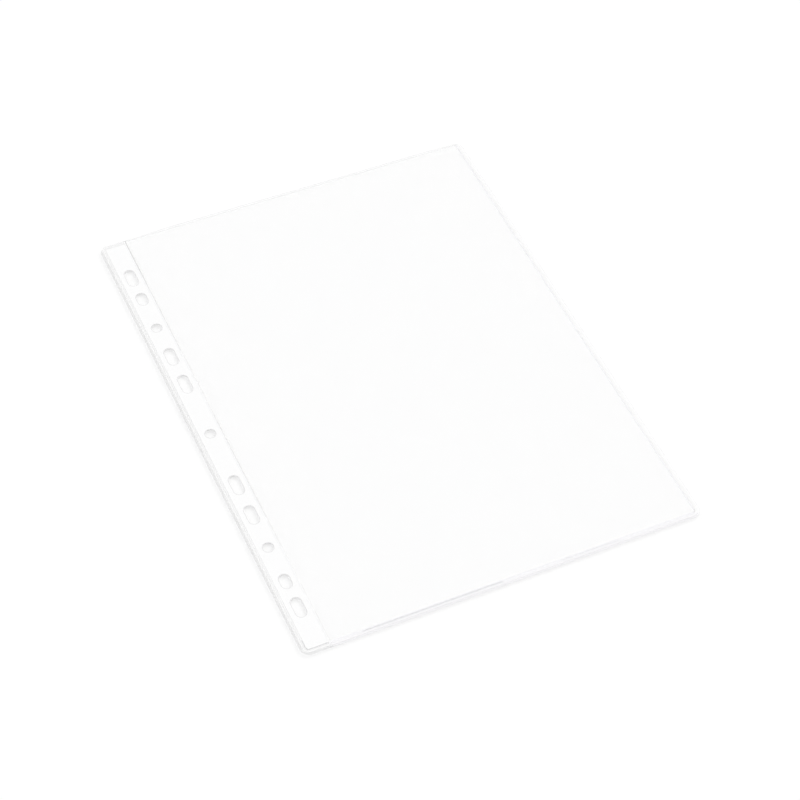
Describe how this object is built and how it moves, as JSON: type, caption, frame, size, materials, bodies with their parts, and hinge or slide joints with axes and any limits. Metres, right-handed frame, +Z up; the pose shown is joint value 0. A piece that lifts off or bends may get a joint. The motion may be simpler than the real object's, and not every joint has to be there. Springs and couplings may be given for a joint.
{
  "type": "sheet protector",
  "caption": "Clear flat punched pocket for A4 sheets, open at one short edge, with a white reinforced strip that is punched for ring binders and flexes along its inner seam.",
  "frame": {"origin": "middle of the underside of the flat pocket", "axes": "+X from the punched strip to the right long edge, +Y along the strip towards the open mouth, +Z up out of the front film"},
  "size_m": [0.233, 0.305, 0.0006],
  "materials": {
    "strip_white": "white polypropylene strip, sealed under clear film",
    "film_clear": "clear polypropylene film",
    "weld_clear": "fused polypropylene seam, slightly cloudy"
  },
  "bodies": {
    "spine": {"spine_strip": "strip_white", "strip_cover_film": "film_clear", "strip_backing_film": "film_clear", "spine_edge_weld": "weld_clear", "spine_weld": "weld_clear"},
    "pocket": {"back_film": "film_clear", "front_film": "film_clear", "bottom_weld": "weld_clear", "side_weld": "weld_clear"}
  },
  "joints": [
    {"name": "pocket_fold", "type": "hinge", "parent": "spine", "child": "pocket", "pos_m": [-0.1, 0, 0.00062], "axis": [0, -1, 0], "range_deg": [0, 170]}
  ]
}
